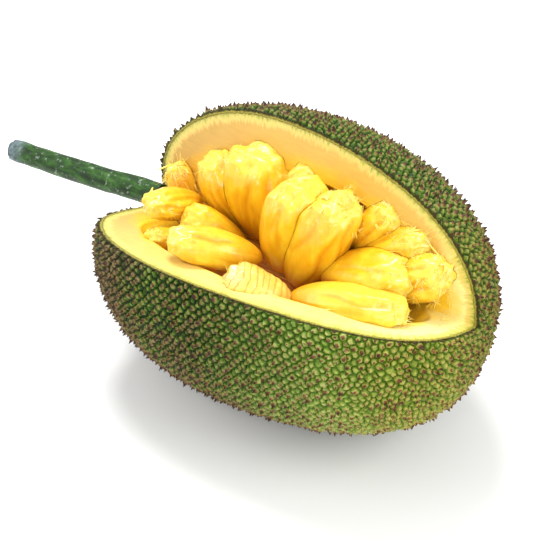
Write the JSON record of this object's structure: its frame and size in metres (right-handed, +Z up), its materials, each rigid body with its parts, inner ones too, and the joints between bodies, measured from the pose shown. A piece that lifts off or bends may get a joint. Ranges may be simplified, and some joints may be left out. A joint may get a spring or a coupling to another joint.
{
  "type": "cut jackfruit",
  "caption": "Spiny green jackfruit lying on its side, with a long wedge cut out that shows pale flesh and a heap of yellow bulbs, and its stem.",
  "frame": {"origin": "middle of the flat spot that the fruit rests on", "axes": "+X along the fruit from the stem to the blossom end, +Z up, the cut opens towards -Y and +Z"},
  "size_m": [0.493, 0.2622, 0.2444],
  "materials": {
    "skin": "rough, warty green",
    "flesh": "moist, matt pale yellow",
    "core": "moist, fibrous orange-brown",
    "bulb": "glossy, waxy golden yellow",
    "rag": "moist pale yellow fibre",
    "stem": "wet dark green bark"
  },
  "bodies": {
    "root": {"rind": "skin", "flesh": "flesh", "core": "core", "stem": "stem", "bulb_01": "bulb", "bulb_02": "bulb", "bulb_03": "bulb", "bulb_04": "bulb", "bulb_05": "bulb", "bulb_06": "bulb", "bulb_07": "bulb", "bulb_08": "bulb", "bulb_09": "bulb", "bulb_10": "bulb", "bulb_11": "bulb", "bulb_12": "bulb", "bulb_13": "bulb", "bulb_14": "bulb", "rag_01": "rag", "rag_02": "rag"}
  },
  "joints": []
}
